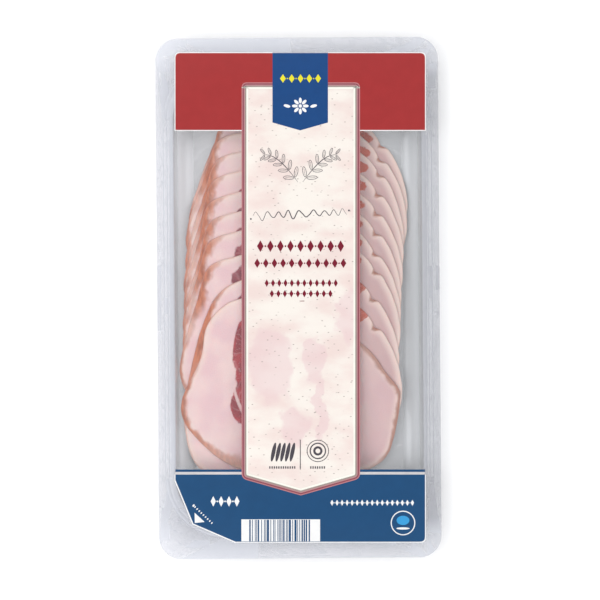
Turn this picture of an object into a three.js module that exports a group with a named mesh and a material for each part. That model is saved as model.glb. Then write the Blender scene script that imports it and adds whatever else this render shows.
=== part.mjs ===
// A sealed pack of sliced rolled pancetta: a clear thermoformed tray, a flat clear
// lid film with its printed fields, and eleven round slices laid like shingles inside.
// Millimetres, +Z up. The tray stands on its flat floor at z = 0, with the origin at
// the middle of that floor, +X across the pack and +Y towards its red-banded end.
import * as THREE from "three";

// Tray
const PACK_WIDTH = 140; // one of three lanes cut from a 420 mm web
const PACK_LENGTH = 258;
const PACK_CORNER = 11;
const CAVITY_WIDTH = 122.4;
const CAVITY_LENGTH = 226;
const CAVITY_CORNER = 24;
const TRAY_HEIGHT = 16;
const WALL = 0.6; // the formed sheet, drawn a little thicker than the real 0.35
const DRAFT = 0.9; // how far a wall leans in from the flange to the floor bend
const FLOOR_BEND = 8; // inner radius between the floor and the walls
const LIP_BEND = 1; // inner radius between the walls and the flange
const BEND_STEPS = 5;
const LIP_STEPS = 2;
const CORNER_STEPS = 8;

// Lid film and its print
const FILM = 0.3;
const PRINT = 0.1;
const PRINT_GAP = 0.2; // bare film between two printed fields
const LAY_TURN = -0.45; // degrees that film and slices sit askew on the tray
const PRINT_LEFT = -61;
const PRINT_RIGHT = 62.7;
const PRINT_TOP = 121.4;
const PRINT_BOTTOM = -120.8;
const PRINT_CORNER = 2.5;
const RED_BOTTOM = 83.3;
const TAB_LEFT = -12.9;
const TAB_RIGHT = 14.6;
const TAB_SIDE = 87; // where the tab's straight sides end
const TAB_DROP = 3.9; // depth of its pointed end
const PANEL_LEFT = -28.2;
const PANEL_RIGHT = 30.5;
const PANEL_TOP = 106.9;
const PANEL_CORNER = 2.7;
const PANEL_SIDE = -89.5; // where the panel's sides would meet its foot if they weren't rounded
const PANEL_TIP = -97.9;
const LINE_TOP = -85;
const LINE_BOTTOM = -86.2;
const BLUE_TOP = -87.5;
const PEEL_CUT = [[-31.2, -120.8], [-52.1, -111.8], [-61, -90.2]]; // print cut back at the peel corner

// Slices
const SLICE = 1.1; // thickness of one slice
const SLICE_GAP = 0.2;
const SLICE_SECTORS = 52;
const SLICE_RINGS = [0.3, 0.55, 0.8, 0.99]; // shares of the outline; the rim bulges past the last
const UNEVEN = 0.004; // share by which a slice's edge wanders
const UNEVEN_WAVES = [3, 4, 5, 7];
const BED_LIFT = 0.9; // clearance of the first slice over the floor, before it sags
const BED_FOLD_Y = 3.6; // where the slices start to slope down, just past the first one's lower edge
const BED_STEPS = 9; // slices that end before the foot of the pile, where the last two lie flat again
const BED_WAVE = 0.3; // height of the bed's slow waves, and their lengths below
const BED_WAVE_X = 85;
const BED_WAVE_Y = 110;

// Where each slice's middle lies, and its turn in degrees. Each lies on the one before it.
// The first is from the roll's narrow end.
const SLICE_LAY = [
  { x: 4.4, y: 49.2, turn: -5.8, size: 0.975 },
  { x: 3.0, y: 41.5, turn: -5.0 },
  { x: 1.8, y: 33.6, turn: -3.0 },
  { x: 1.2, y: 23.9, turn: -2.4 },
  { x: 0.5, y: 14.2, turn: -1.0 },
  { x: 0.1, y: 4.2, turn: 0.8 },
  { x: -0.1, y: -6.0, turn: 0.0 },
  { x: -0.4, y: -15.4, turn: 0.0 },
  { x: -1.5, y: -28.4, turn: -0.7 },
  { x: 0.0, y: -42.5, turn: -2.2 },
  { x: -4.7, y: -54.5, turn: 0.0 },
];
const BED_PITCH = (SLICE_LAY[0].y - SLICE_LAY.at(-1).y) / (SLICE_LAY.length - 1);

// The outline that most slices share, round its middle: a square shoulder at the upper left,
// where the roll was pressed against its mould, and a short lower side.
const SLICE_OUTLINE = [
  [51.5, 0], [43, 24.5], [24, 42.5], [0, 52], [-15, 51.5], [-30, 48.8], [-43, 44.4],
  [-46.5, 39], [-48.8, 29], [-56.8, 0], [-57.4, -11], [-53, -21], [-44, -28], [-30, -33],
  [0, -34.5], [33, -32], [46, -22],
];
// The last but one has a round shoulder and a long lower side, which shows past the front slice.
const LONG_OUTLINE = [
  [51.5, 0], [43, 24.5], [24, 42.5], [0, 53], [-15, 54.5], [-30, 50.5], [-41.5, 43],
  [-48, 29], [-55.5, 0], [-57, -14], [-55.7, -25], [-48.2, -43.8], [-25, -53], [0, -53.5],
  [30, -48], [44, -32], [50.5, -14],
];
// The front slice, which shows whole, bulges at its right.
const FRONT_OUTLINE = [
  [54.8, 2], [54.3, 9], [47.8, 17], [42.8, 25.5], [24.5, 42], [0, 55], [-15, 55.5],
  [-30, 51.5], [-40.5, 41], [-44, 25.5], [-54, 2], [-52.5, -7.6], [-36, -24.8],
  [-20, -32.5], [0, -35], [33, -34], [48, -26], [53, -12],
];

const UP = new THREE.Vector3(0, 0, 1);

const FINISHES = {
  tray: { color: 0xd3d7de, roughness: 0.15, opacity: 0.35 },
  film: { color: 0xe9edf2, roughness: 0.1, opacity: 0.2 },
  red: { color: 0xab393a, roughness: 0.35 },
  blue: { color: 0x25507a, roughness: 0.35 },
  navy: { color: 0x1f4376, roughness: 0.35 },
  panel: { color: 0xfff6ef, roughness: 0.4 },
  fat: { color: 0xe6cfcd, roughness: 0.45 },
};

/** A material of one of the pack's finishes. */
function finish({ color, roughness, opacity = 1 }) {
  const transparent = opacity < 1;
  return new THREE.MeshStandardMaterial({ color, roughness, metalness: 0, opacity, transparent });
}

/** The points of a rounded rectangle at height z, anticlockwise from above. */
function roundedRing(halfWidth, halfLength, corner, z) {
  const ring = [];
  for (let quarter = 0; quarter < 4; quarter += 1) {
    const sideX = quarter === 0 || quarter === 3 ? 1 : -1;
    const sideY = quarter < 2 ? 1 : -1;
    for (let step = 0; step <= CORNER_STEPS; step += 1) {
      const angle = (Math.PI / 2) * (quarter + step / CORNER_STEPS);
      const x = sideX * (halfWidth - corner) + corner * Math.cos(angle);
      const y = sideY * (halfLength - corner) + corner * Math.sin(angle);
      ring.push(new THREE.Vector3(x, y, z));
    }
  }
  return ring;
}

/** A closed skin through rings of equal length, from the first middle to the last one. */
function loft(firstMiddle, rings, lastMiddle) {
  const size = rings[0].length;
  const points = [firstMiddle, ...rings.flat(), lastMiddle];
  const at = (ring, step) => 1 + ring * size + (step % size);
  const faces = [];
  for (let step = 0; step < size; step += 1) {
    faces.push(0, at(0, step), at(0, step + 1));
    for (let ring = 0; ring + 1 < rings.length; ring += 1) {
      faces.push(at(ring, step), at(ring + 1, step), at(ring + 1, step + 1));
      faces.push(at(ring, step), at(ring + 1, step + 1), at(ring, step + 1));
    }
    faces.push(points.length - 1, at(rings.length - 1, step + 1), at(rings.length - 1, step));
  }
  const geometry = new THREE.BufferGeometry().setFromPoints(points);
  geometry.setIndex(faces);
  geometry.computeVertexNormals();
  return geometry;
}

/** The rings of the cavity's skin from floor to flange, `out` outwards of its inner side. */
function cavityRings(out) {
  const ring = (inset, z) =>
    roundedRing(CAVITY_WIDTH / 2 - inset, CAVITY_LENGTH / 2 - inset, CAVITY_CORNER - inset, z);
  const floorBend = FLOOR_BEND + out;
  const lipBend = LIP_BEND - out;
  const rings = [];
  for (let step = 0; step <= BEND_STEPS; step += 1) {
    const angle = (Math.PI / 2) * (step / BEND_STEPS);
    const inset = DRAFT + FLOOR_BEND - floorBend * Math.sin(angle);
    rings.push(ring(inset, WALL + FLOOR_BEND - floorBend * Math.cos(angle)));
  }
  for (let step = 0; step <= LIP_STEPS; step += 1) {
    const angle = (Math.PI / 2) * (step / LIP_STEPS);
    const inset = lipBend * Math.cos(angle) - LIP_BEND;
    rings.push(ring(inset, TRAY_HEIGHT - LIP_BEND + lipBend * Math.sin(angle)));
  }
  return rings;
}

/** The clear tray: floor, bends, walls and flange as one thin shell. */
function trayGeometry() {
  const edge = (z) => roundedRing(PACK_WIDTH / 2, PACK_LENGTH / 2, PACK_CORNER, z);
  const rings = [
    ...cavityRings(0),
    edge(TRAY_HEIGHT),
    edge(TRAY_HEIGHT - WALL),
    ...cavityRings(WALL).reverse(),
  ];
  return loft(new THREE.Vector3(0, 0, WALL), rings, new THREE.Vector3(0, 0, 0));
}

/** A flat plate of the outline `shape`. */
function plate(shape, thickness) {
  return new THREE.ExtrudeGeometry(shape, {
    depth: thickness,
    bevelEnabled: false,
    curveSegments: CORNER_STEPS,
  });
}

/** The outline of the whole pack, which the lid film follows. */
function packShape() {
  const ring = roundedRing(PACK_WIDTH / 2, PACK_LENGTH / 2, PACK_CORNER, 0);
  return new THREE.Shape(ring.map((p) => new THREE.Vector2(p.x, p.y)));
}

/** One of the red fields beside the tab: side is -1 on the left and 1 on the right. */
function redShape(side) {
  const outer = side < 0 ? PRINT_LEFT : PRINT_RIGHT;
  const tab = (side < 0 ? TAB_LEFT : TAB_RIGHT) + side * PRINT_GAP;
  const panel = (side < 0 ? PANEL_LEFT : PANEL_RIGHT) + side * PRINT_GAP;
  const shelf = PANEL_TOP + PRINT_GAP;
  const shape = new THREE.Shape();
  shape.moveTo(tab, PRINT_TOP);
  shape.lineTo(outer - side * PRINT_CORNER, PRINT_TOP);
  shape.quadraticCurveTo(outer, PRINT_TOP, outer, PRINT_TOP - PRINT_CORNER);
  shape.lineTo(outer, RED_BOTTOM);
  shape.lineTo(panel, RED_BOTTOM);
  shape.lineTo(panel, shelf - PANEL_CORNER);
  shape.quadraticCurveTo(panel, shelf, panel - side * PANEL_CORNER, shelf);
  shape.lineTo(tab, shelf);
  return shape;
}

/** The blue tab that hangs from the top edge over the panel and ends in a point. */
function tabShape() {
  const shape = new THREE.Shape();
  shape.moveTo(TAB_LEFT, PRINT_TOP);
  shape.lineTo(TAB_LEFT, TAB_SIDE);
  shape.lineTo((TAB_LEFT + TAB_RIGHT) / 2, TAB_SIDE - TAB_DROP);
  shape.lineTo(TAB_RIGHT, TAB_SIDE);
  shape.lineTo(TAB_RIGHT, PRINT_TOP);
  return shape;
}

/** Draws on round the panel's pointed foot, `out` outwards of it, from its left side to its right. */
function drawFoot(shape, out, top) {
  const middle = (PANEL_LEFT + PANEL_RIGHT) / 2;
  const left = PANEL_LEFT - out;
  const right = PANEL_RIGHT + out;
  const side = PANEL_SIDE - out;
  const slope = side - (PANEL_CORNER * (PANEL_SIDE - PANEL_TIP)) / (middle - PANEL_LEFT);
  shape.lineTo(left, top);
  shape.quadraticCurveTo(left, side, left + PANEL_CORNER, slope);
  shape.lineTo(middle, PANEL_TIP - out);
  shape.lineTo(right - PANEL_CORNER, slope);
  shape.quadraticCurveTo(right, side, right, top);
}

/** The cream panel down the middle, cut round the tab at its top. */
function panelShape() {
  const tabLeft = TAB_LEFT - PRINT_GAP;
  const tabRight = TAB_RIGHT + PRINT_GAP;
  const shape = new THREE.Shape();
  shape.moveTo(tabLeft, PANEL_TOP);
  shape.lineTo(PANEL_LEFT + PANEL_CORNER, PANEL_TOP);
  shape.quadraticCurveTo(PANEL_LEFT, PANEL_TOP, PANEL_LEFT, PANEL_TOP - PANEL_CORNER);
  drawFoot(shape, 0, PANEL_SIDE + PANEL_CORNER);
  shape.lineTo(PANEL_RIGHT, PANEL_TOP - PANEL_CORNER);
  shape.quadraticCurveTo(PANEL_RIGHT, PANEL_TOP, PANEL_RIGHT - PANEL_CORNER, PANEL_TOP);
  shape.lineTo(tabRight, PANEL_TOP);
  shape.lineTo(tabRight, TAB_SIDE - PRINT_GAP);
  shape.lineTo((TAB_LEFT + TAB_RIGHT) / 2, TAB_SIDE - TAB_DROP - PRINT_GAP);
  shape.lineTo(tabLeft, TAB_SIDE - PRINT_GAP);
  return shape;
}

/** The thin blue line over the blue field, on one side of the panel. */
function lineShape(side) {
  const outer = side < 0 ? PRINT_LEFT : PRINT_RIGHT;
  const inner = (side < 0 ? PANEL_LEFT : PANEL_RIGHT) + side * PRINT_GAP;
  const shape = new THREE.Shape();
  shape.moveTo(outer, LINE_BOTTOM);
  shape.lineTo(inner, LINE_BOTTOM);
  shape.lineTo(inner, LINE_TOP);
  shape.lineTo(outer, LINE_TOP);
  return shape;
}

/** The blue field at the foot, cut round the panel's point and back from the peel corner. */
function blueShape() {
  const shape = new THREE.Shape();
  shape.moveTo(PRINT_LEFT, BLUE_TOP);
  drawFoot(shape, PRINT_GAP, BLUE_TOP);
  shape.lineTo(PRINT_RIGHT, BLUE_TOP);
  shape.lineTo(PRINT_RIGHT, PRINT_BOTTOM + PRINT_CORNER);
  shape.quadraticCurveTo(PRINT_RIGHT, PRINT_BOTTOM, PRINT_RIGHT - PRINT_CORNER, PRINT_BOTTOM);
  PEEL_CUT.forEach(([x, y]) => shape.lineTo(x, y));
  return shape;
}

/** Height of the bed on which the slices lie: level at the red end, sloping down, and level at the foot. */
function bedHeight(x, y) {
  const steps = Math.log(1 + Math.exp((BED_FOLD_Y - y) / BED_PITCH));
  const settled = BED_STEPS - Math.log(1 + Math.exp(BED_STEPS - steps));
  const wave = Math.cos((2 * Math.PI * x) / BED_WAVE_X) * Math.cos((2 * Math.PI * y) / BED_WAVE_Y);
  return WALL + BED_LIFT - settled * (SLICE + SLICE_GAP) + BED_WAVE * wave;
}

/** The outline of one slice where it lies, with its own slight unevenness. */
function sliceOutline(index) {
  const { x, y, turn, size = 1 } = SLICE_LAY[index];
  const behind = SLICE_LAY.length - 1 - index;
  const outline = [FRONT_OUTLINE, LONG_OUTLINE][behind] ?? SLICE_OUTLINE;
  const points = outline.map(([px, py]) => new THREE.Vector3(px * size, py * size, 0));
  const curve = new THREE.CatmullRomCurve3(points, true);
  const phases = UNEVEN_WAVES.map(
    (wave) => 2 * Math.PI * THREE.MathUtils.seededRandom(index * UNEVEN_WAVES.length + wave),
  );
  const angle = THREE.MathUtils.degToRad(turn);
  const middle = new THREE.Vector3(x, y, 0);
  return curve.getSpacedPoints(SLICE_SECTORS).slice(0, SLICE_SECTORS).map((p) => {
    const along = Math.atan2(p.y, p.x);
    const wander = UNEVEN_WAVES.reduce((sum, n, i) => sum + Math.cos(n * along + phases[i]), 0);
    return p.multiplyScalar(1 + UNEVEN * wander).applyAxisAngle(UP, angle).add(middle);
  });
}

/** One slice: two faces that follow the bed, and a rounded rim between them. */
function sliceGeometry(index) {
  const { x, y } = SLICE_LAY[index];
  const middle = new THREE.Vector3(x, y, 0);
  const outline = sliceOutline(index);
  const base = index * (SLICE + SLICE_GAP);
  const lay = (p, rise) => new THREE.Vector3(p.x, p.y, bedHeight(p.x, p.y) + base + rise);
  const ring = (share, rise) => outline.map((p) => lay(p.clone().lerp(middle, 1 - share), rise));
  const face = (rise) => SLICE_RINGS.map((share) => ring(share, rise));
  const rings = [...face(SLICE), ring(1, SLICE / 2), ...face(0).reverse()];
  return loft(lay(middle, SLICE), rings, lay(middle, 0));
}

/** A named mesh at height z. */
function piece(name, geometry, material, z = 0) {
  const mesh = new THREE.Mesh(geometry, material);
  mesh.name = name;
  mesh.position.z = z;
  return mesh;
}

/** The printed fields, on top of the film. */
function printPieces() {
  const z = TRAY_HEIGHT + FILM;
  const red = finish(FINISHES.red);
  const blue = finish(FINISHES.blue);
  return [
    piece("print_red_left", plate(redShape(-1), PRINT), red, z),
    piece("print_red_right", plate(redShape(1), PRINT), red, z),
    piece("print_tab", plate(tabShape(), PRINT), finish(FINISHES.navy), z),
    piece("print_panel", plate(panelShape(), PRINT), finish(FINISHES.panel), z),
    piece("print_line_left", plate(lineShape(-1), PRINT), blue, z),
    piece("print_line_right", plate(lineShape(1), PRINT), blue, z),
    piece("print_blue", plate(blueShape(), PRINT), blue, z),
  ];
}

/** The slices, from the one on the floor to the one in front. */
function slicePieces() {
  const fat = finish(FINISHES.fat);
  return SLICE_LAY.map((_, index) => {
    const name = `slice_${String(index + 1).padStart(2, "0")}`;
    return piece(name, sliceGeometry(index), fat);
  });
}

const lay = new THREE.Group();
lay.rotation.z = THREE.MathUtils.degToRad(LAY_TURN);
lay.add(...slicePieces(), ...printPieces());

const pack = new THREE.Group();
pack.add(
  piece("tray", trayGeometry(), finish(FINISHES.tray)),
  piece("lid_film", plate(packShape(), FILM), finish(FINISHES.film), TRAY_HEIGHT),
  lay,
);

export default pack;
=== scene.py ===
"""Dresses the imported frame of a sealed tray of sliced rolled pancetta.

The formed tray, the lid film, its print and the eleven slices are each built again as fine
meshes round the frame's own solids. Sizes are in millimetres in the print's upright frame
until a piece is finished, when it is turned askew with the lid and brought to metres.
"""

from __future__ import annotations

import logging
import math
import random
from collections.abc import Callable, Iterable, Sequence
from dataclasses import dataclass, field
from enum import Enum
from functools import partial

import bmesh
import bpy
from mathutils import Matrix, Vector, kdtree, noise
from mathutils.geometry import interpolate_bezier

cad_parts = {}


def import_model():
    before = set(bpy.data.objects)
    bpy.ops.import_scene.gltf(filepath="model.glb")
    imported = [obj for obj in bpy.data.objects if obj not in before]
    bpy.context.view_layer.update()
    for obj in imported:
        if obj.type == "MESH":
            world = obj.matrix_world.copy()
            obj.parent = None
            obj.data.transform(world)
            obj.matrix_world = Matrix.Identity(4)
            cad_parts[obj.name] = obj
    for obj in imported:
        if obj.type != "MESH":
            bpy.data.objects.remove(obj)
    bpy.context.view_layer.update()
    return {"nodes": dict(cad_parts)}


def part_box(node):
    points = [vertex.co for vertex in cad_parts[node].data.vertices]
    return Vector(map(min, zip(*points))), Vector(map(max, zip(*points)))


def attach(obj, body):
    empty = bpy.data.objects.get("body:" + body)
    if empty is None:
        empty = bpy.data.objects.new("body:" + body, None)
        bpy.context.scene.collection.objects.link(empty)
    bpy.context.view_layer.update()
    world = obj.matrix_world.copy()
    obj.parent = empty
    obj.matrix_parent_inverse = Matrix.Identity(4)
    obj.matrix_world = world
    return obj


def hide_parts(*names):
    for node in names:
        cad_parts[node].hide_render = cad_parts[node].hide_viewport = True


LOG = logging.getLogger("pancetta_pack")
MM = 0.001
LAY_TURN = math.radians(-0.45)  # how far lid and slices sit askew on the tray

Tree = bpy.types.NodeTree
Socket = bpy.types.NodeSocket
Mesh = bmesh.types.BMesh
Point = tuple[float, float]
Knots = tuple[tuple[float, float, float], ...]

# A Mix node that mixes colours, and a Map Range node that eases between its ends.
MIX = {"out": "Result", "data_type": "RGBA"}
EASE = {"out": "Result", "interpolation_type": "SMOOTHSTEP"}


def linear(hex_colour: str) -> tuple[float, float, float, float]:
    """Turns an sRGB hex colour into Blender's linear colour.

    Args:
        hex_colour: A colour such as "#AB393A".

    Returns:
        Linear red, green, blue and an alpha of 1.
    """
    shares = [int(hex_colour[i : i + 2], 16) / 255 for i in (1, 3, 5)]
    return (*(s / 12.92 if s <= 0.04045 else ((s + 0.055) / 1.055) ** 2.4 for s in shares), 1.0)


def add(
    tree: Tree,
    kind: str,
    inputs: dict[int | str, object] | None = None,
    out: int | str = 0,
    **settings: object,
) -> Socket | None:
    """Adds one shader node, sets it and links what feeds it.

    Args:
        tree: The node tree that takes the node.
        kind: The node's type, without Blender's ShaderNode before it.
        inputs: Socket name or number to a value, a hex colour or the output socket that feeds it.
        out: The output that is wanted.
        **settings: The node's own properties.

    Returns:
        The wanted output socket, or nothing where the node has none.
    """
    node = tree.nodes.new(f"ShaderNode{kind}")
    for name, value in settings.items():
        setattr(node, name, value)
    for key, value in (inputs or {}).items():
        if isinstance(value, Socket):
            tree.links.new(value, node.inputs[key])
        else:
            node.inputs[key].default_value = linear(value) if isinstance(value, str) else value
    return node.outputs[out] if node.outputs else None


@dataclass(frozen=True)
class Finish:
    """What every finish shares: a name, and a node tree that its own surface fills."""

    name: str

    def make(self) -> bpy.types.Material:
        """Builds the finish.

        Returns:
            The material.
        """
        material = bpy.data.materials.new(self.name)
        material.use_nodes = True
        tree = material.node_tree
        tree.nodes.clear()
        add(tree, "OutputMaterial", {"Surface": self.surface(tree)})
        return material

    def surface(self, tree: Tree) -> Socket:
        """Fills the tree and returns the shader that shows."""
        raise NotImplementedError


@dataclass(frozen=True)
class ClearSheet(Finish):
    """Clear PET: faintly grey, with a hard gloss that grows where the sheet turns from the eye."""

    tint: str = "#FBFBFD"
    body: str = "#DFE0E6"
    haze: float = 0.03
    ior: float = 1.57
    roughness: float = 0.28
    wave_mm: float = 30.0
    wave_depth: float = 0.12
    wave_height_mm: float = 2.0

    def surface(self, tree: Tree) -> Socket:
        """Fills the tree with this finish's nodes.

        Args:
            tree: The material's node tree.

        Returns:
            The shader that shows.
        """
        place = add(tree, "TexCoord", out="Object")
        # Forming leaves slow thick and thin waves in the sheet.
        waves = add(tree, "TexNoise", {"Vector": place, "Scale": 1 / (self.wave_mm * MM), "Detail": 2.0})
        bump = {"Height": waves, "Strength": self.wave_depth, "Distance": self.wave_height_mm * MM}
        normal = add(tree, "Bump", bump)
        # Each face of the sheet mirrors a few hundredths head on and all of it at a glance.
        facing = add(tree, "LayerWeight", {"Blend": 0.5, "Normal": normal}, "Facing")
        glance = add(tree, "Math", {0: facing, 1: 5.0}, operation="POWER")
        head_on = ((self.ior - 1) / (self.ior + 1)) ** 2
        mirrored = add(tree, "Math", {0: glance, 1: 1 - head_on, 2: head_on}, operation="MULTIPLY_ADD")
        clear = add(tree, "BsdfTransparent", {"Color": self.clear_colour(tree, place)})
        haze, body = self.cloud(tree, place)
        cloudy = add(tree, "BsdfDiffuse", {"Color": body})
        sheet = add(tree, "MixShader", {0: haze, 1: clear, 2: cloudy})
        gloss = add(tree, "BsdfAnisotropic", {"Roughness": self.roughness, "Normal": normal})
        return add(tree, "MixShader", {0: mirrored, 1: sheet, 2: gloss})

    def clear_colour(self, tree: Tree, place: Socket) -> object:
        """Gives what one face of the sheet lets through, as a colour or the socket of one."""
        return self.tint

    def cloud(self, tree: Tree, place: Socket) -> tuple[object, object]:
        """Gives the share and the colour of the sheet's cloudiness, each as a value or its socket."""
        return self.haze, self.body


@dataclass(frozen=True)
class SealedSheet(ClearSheet):
    """The tray's sheet: painted shade darkens it towards its right, painted light whitens its flange's two
    ends, and it is milky on the flange from its sealing layer.
    """

    shaded_tint: str = "#F7F8F8"
    seal_tint: str = "#F4F4F6"
    seal_body: str = "#CFD3DB"
    shaded_seal_body: str = "#A9ABB0"
    lit_end_body: str = "#E4E8EF"
    lit_end_share: float = 0.85
    seal_haze: float = 0.45
    shade_start_mm: float = 12.0
    shade_full_mm: float = 70.0
    seal_height_mm: float = 15.2
    seal_fade_mm: float = 0.6
    lit_ends_mm: tuple[float, float] = (108.0, 118.0)

    def shade_right(self, tree: Tree, place: Socket) -> Socket:
        """Gives the share of painted shade: 0 at the sheet's left, easing to 1 towards its right."""
        across = add(tree, "SeparateXYZ", {"Vector": place}, "X")
        return add(tree, "MapRange", {0: across, 1: self.shade_start_mm * MM, 2: self.shade_full_mm * MM}, **EASE)

    def sealed(
        self, tree: Tree, place: Socket, low: float = 0.0, high: float = 1.0
    ) -> Socket:
        """Tells the flange from the cavity.

        Args:
            tree: The material's node tree.
            place: The place on the tray, in metres.
            low: The value in the cavity.
            high: The value on the flange.

        Returns:
            The value's socket.
        """
        height = add(tree, "SeparateXYZ", {"Vector": place}, "Z")
        start, end = self.seal_height_mm * MM, (self.seal_height_mm + self.seal_fade_mm) * MM
        return add(tree, "MapRange", {0: height, 1: start, 2: end, 3: low, 4: high}, **EASE)

    def clear_colour(self, tree: Tree, place: Socket) -> object:
        """Gives what one face of the sheet lets through, as a colour or the socket of one."""
        # Painted shade: the sheet lets less through towards its right.
        shade_right = self.shade_right(tree, place)
        formed = add(tree, "Mix", {"Factor": shade_right, "A": self.tint, "B": self.shaded_tint}, **MIX)
        return add(tree, "Mix", {"Factor": self.sealed(tree, place), "A": formed, "B": self.seal_tint}, **MIX)

    def cloud(self, tree: Tree, place: Socket) -> tuple[object, object]:
        """Makes the sealing layer's milkiness, with painted shade towards the right and painted light on the
        two ends.

        Args:
            tree: The material's node tree.
            place: The place on the tray, in metres.

        Returns:
            The sockets of its share and of its colour.
        """
        # Painted shade: the flange's milk darkens towards its right.
        shade_right = self.shade_right(tree, place)
        milk = add(tree, "Mix", {"Factor": shade_right, "A": self.seal_body, "B": self.shaded_seal_body}, **MIX)
        # Painted light: the milk on the flange's two ends is whiter, to offset the shade that falls there.
        along = add(tree, "SeparateXYZ", {"Vector": place}, "Y")
        from_middle = add(tree, "Math", {0: along}, operation="ABSOLUTE")
        near, far = (end * MM for end in self.lit_ends_mm)
        ends = add(tree, "MapRange", {0: from_middle, 1: near, 2: far, 3: 0.0, 4: self.lit_end_share}, **EASE)
        milk = add(tree, "Mix", {"Factor": ends, "A": milk, "B": self.lit_end_body}, **MIX)
        body = add(tree, "Mix", {"Factor": self.sealed(tree, place), "A": self.body, "B": milk}, **MIX)
        return self.sealed(tree, place, self.haze, self.seal_haze), body


@dataclass(frozen=True)
class SolidInk(Finish):
    """Solid printed ink: flat colour, the faintest mottle, and the film's soft gloss."""

    colour: str
    slot: str
    cover: float = 1.0
    mottle_mm: float = 5.0
    mottle: float = 0.04  # by which the ink is darker or lighter in places
    roughness: float = 0.3
    gloss: float = 0.2

    def surface(self, tree: Tree) -> Socket:
        """Fills the tree with this finish's nodes.

        Args:
            tree: The material's node tree.

        Returns:
            The shader that shows.
        """
        place = add(tree, "TexCoord", out="Object")
        mottle = add(tree, "TexNoise", {"Vector": place, "Scale": 1 / (self.mottle_mm * MM), "Detail": 3.0})
        low, high = 1 - self.mottle, 1 + self.mottle
        value = add(tree, "MapRange", {0: mottle, 1: 0.2, 2: 0.8, 3: low, 4: high}, **EASE)
        colour = add(tree, "HueSaturation", {"Value": value, "Color": self.colour})
        inputs = {"Base Color": colour, "Roughness": self.roughness, "Specular IOR Level": self.gloss}
        ink = add(tree, "BsdfPrincipled", inputs)
        if self.cover == 1.0:
            return ink
        clear = add(tree, "BsdfTransparent", {"Color": "#FFFFFF"})
        return add(tree, "MixShader", {0: self.cover, 1: clear, 2: ink})


class Ink(Enum):
    """The pack's solid inks."""

    RED = SolidInk("printed_red", "#9B2B2C", "print_red")
    BLUE = SolidInk("printed_blue", "#14456F", "print_blue")
    NAVY = SolidInk("printed_navy", "#0B4078", "print_navy")
    WHITE = SolidInk("printed_white", "#E6E6E6", "print_cream")
    GAP_WHITE = SolidInk("printed_thin_white", "#E6E3E3", "print_cream", cover=0.5)
    PINK = SolidInk("printed_light_rose", "#B4767A", "print_red")
    ROSE = SolidInk("printed_dark_rose", "#83444F", "print_red")
    MAUVE = SolidInk("printed_mauve", "#AF8185", "print_cream")
    TAUPE = SolidInk("printed_taupe", "#978A83", "print_cream")
    IVORY = SolidInk("printed_ivory", "#E9E8DE", "print_cream")
    WINE = SolidInk("printed_wine", "#73132A", "print_red")
    GREY = SolidInk("printed_grey", "#47434A", "print_navy")
    YELLOW = SolidInk("printed_yellow", "#DDD52B", "print_cream")
    SKY = SolidInk("printed_sky", "#3594CC", "print_blue")


@dataclass(frozen=True)
class Lobe:
    """One muscle of the rolled belly, as an ellipse round a point, in millimetres."""

    x: float
    y: float
    wide: float
    high: float

    def reach(self, tree: Tree, place: Socket) -> Socket:
        """Measures how far a place lies from the muscle's middle.

        Args:
            tree: The material's node tree.
            place: The place, in millimetres.

        Returns:
            The socket of a value that is 1 on the muscle's outline.
        """
        offset = add(tree, "VectorMath", {0: place, 1: (self.x, self.y, 0.0)}, operation="SUBTRACT")
        ratio = (1 / self.wide, 1 / self.high, 0.0)
        scaled = add(tree, "VectorMath", {0: offset, 1: ratio}, operation="MULTIPLY")
        return add(tree, "VectorMath", {0: scaled}, "Value", operation="LENGTH")


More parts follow.
